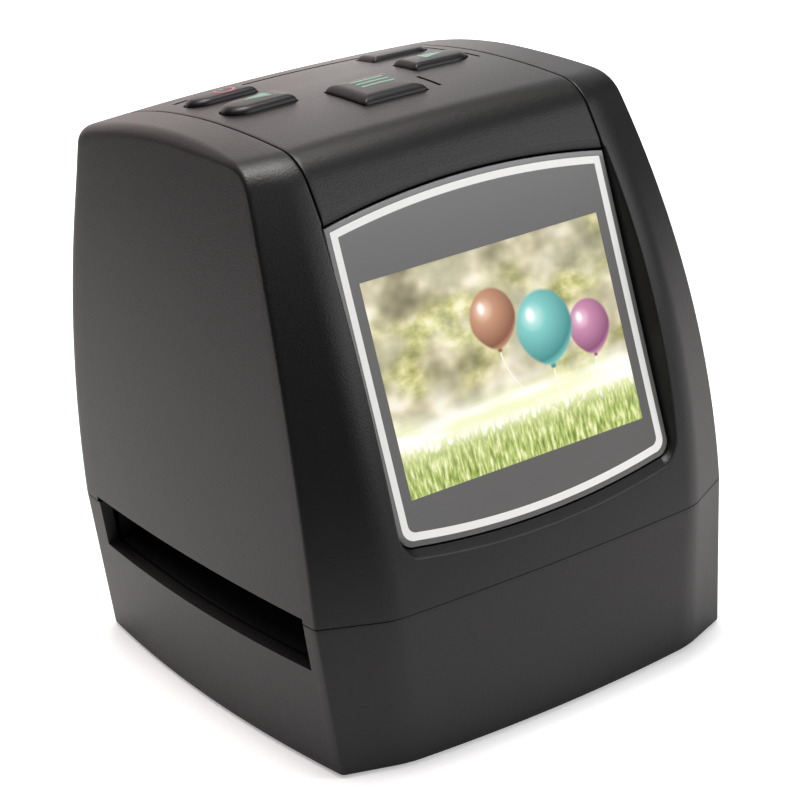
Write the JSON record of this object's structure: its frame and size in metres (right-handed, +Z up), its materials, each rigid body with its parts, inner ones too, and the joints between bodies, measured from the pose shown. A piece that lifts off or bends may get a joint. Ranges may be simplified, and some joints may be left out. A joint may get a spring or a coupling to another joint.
{
  "type": "film negative scanner",
  "caption": "Desk-top scanner for film strips and slides: a case with a film slot right through it, a top cover with push buttons and a tilted front screen.",
  "frame": {"origin": "on the ground plane, under the middle of the case", "axes": "+X to the right as seen from the front, +Y to the back, +Z up; the screen faces -Y"},
  "size_m": [0.087, 0.0896, 0.1031],
  "materials": {
    "case_plastic": "fine-textured matte black",
    "button_plastic": "polished black",
    "window_acrylic": "polished grey with a white printed border",
    "screen_glass": "polished",
    "steel": "plain tinned sheet and wire",
    "flex_film": "amber flexible circuit film",
    "circuit_board": "green solder mask",
    "white_board": "white solder mask",
    "chip_plastic": "moulded black",
    "inner_plastic": "dull black",
    "opal_plastic": "opal white",
    "white_plastic": "dull white",
    "lamp_resin": "pale yellow resin",
    "lens_glass": "coated glass",
    "sensor_glass": "dark cover glass over the chip",
    "foot_rubber": "dull black"
  },
  "bodies": {
    "case": {"bottom_housing": "case_plastic", "upper_housing": "case_plastic", "top_cover": "case_plastic", "screen_window": "window_acrylic", "lcd_panel": "screen_glass", "lcd_frame": "steel", "lcd_ribbon": "flex_film", "main_board": "circuit_board", "main_chips": "chip_plastic", "usb_socket": "steel", "card_socket": "steel", "tv_jack": "inner_plastic", "film_bed": "inner_plastic", "film_guide": "inner_plastic", "diffuser": "opal_plastic", "light_box": "white_plastic", "led_board": "white_board", "backlight_leds": "lamp_resin", "optical_tunnel": "inner_plastic", "lens_barrel": "inner_plastic", "lens_glass": "lens_glass", "sensor_board": "circuit_board", "image_sensor": "sensor_glass", "sensor_ribbon": "flex_film", "detent_spring": "steel", "button_board": "circuit_board", "switch_power": "steel", "switch_mode": "steel", "switch_left": "steel", "switch_right": "steel", "switch_ok": "steel", "foot_front_left": "foot_rubber", "foot_front_right": "foot_rubber", "foot_rear_left": "foot_rubber", "foot_rear_right": "foot_rubber", "case_screws": "steel", "sensor_screws": "steel", "main_board_screws": "steel", "button_board_screws": "steel"},
    "power_button": {"button_power": "button_plastic", "stem_power": "chip_plastic"},
    "mode_button": {"button_mode": "button_plastic", "stem_mode": "chip_plastic"},
    "left_button": {"button_left": "button_plastic", "stem_left": "chip_plastic"},
    "right_button": {"button_right": "button_plastic", "stem_right": "chip_plastic"},
    "ok_button": {"button_ok": "button_plastic", "stem_ok": "chip_plastic"},
    "detent": {"detent_plunger": "steel"}
  },
  "joints": [
    {"name": "power_press", "type": "slide", "parent": "case", "child": "power_button", "axis": [0, 0, -1], "range_m": [0, 0.0005], "stiffness_N_per_m": 300, "springref_m": -0.002},
    {"name": "mode_press", "type": "slide", "parent": "case", "child": "mode_button", "axis": [0, 0, -1], "range_m": [0, 0.0005], "stiffness_N_per_m": 300, "springref_m": -0.002},
    {"name": "left_press", "type": "slide", "parent": "case", "child": "left_button", "axis": [0, 0, -1], "range_m": [0, 0.0005], "stiffness_N_per_m": 300, "springref_m": -0.002},
    {"name": "right_press", "type": "slide", "parent": "case", "child": "right_button", "axis": [0, 0, -1], "range_m": [0, 0.0005], "stiffness_N_per_m": 300, "springref_m": -0.002},
    {"name": "ok_press", "type": "slide", "parent": "case", "child": "ok_button", "axis": [0, 0, -1], "range_m": [0, 0.0005], "stiffness_N_per_m": 300, "springref_m": -0.002},
    {"name": "detent_click", "type": "slide", "parent": "case", "child": "detent", "axis": [0, 0, -1], "range_m": [0, 0.0007], "stiffness_N_per_m": 400, "springref_m": -0.001, "deforming": ["detent_spring"]}
  ]
}
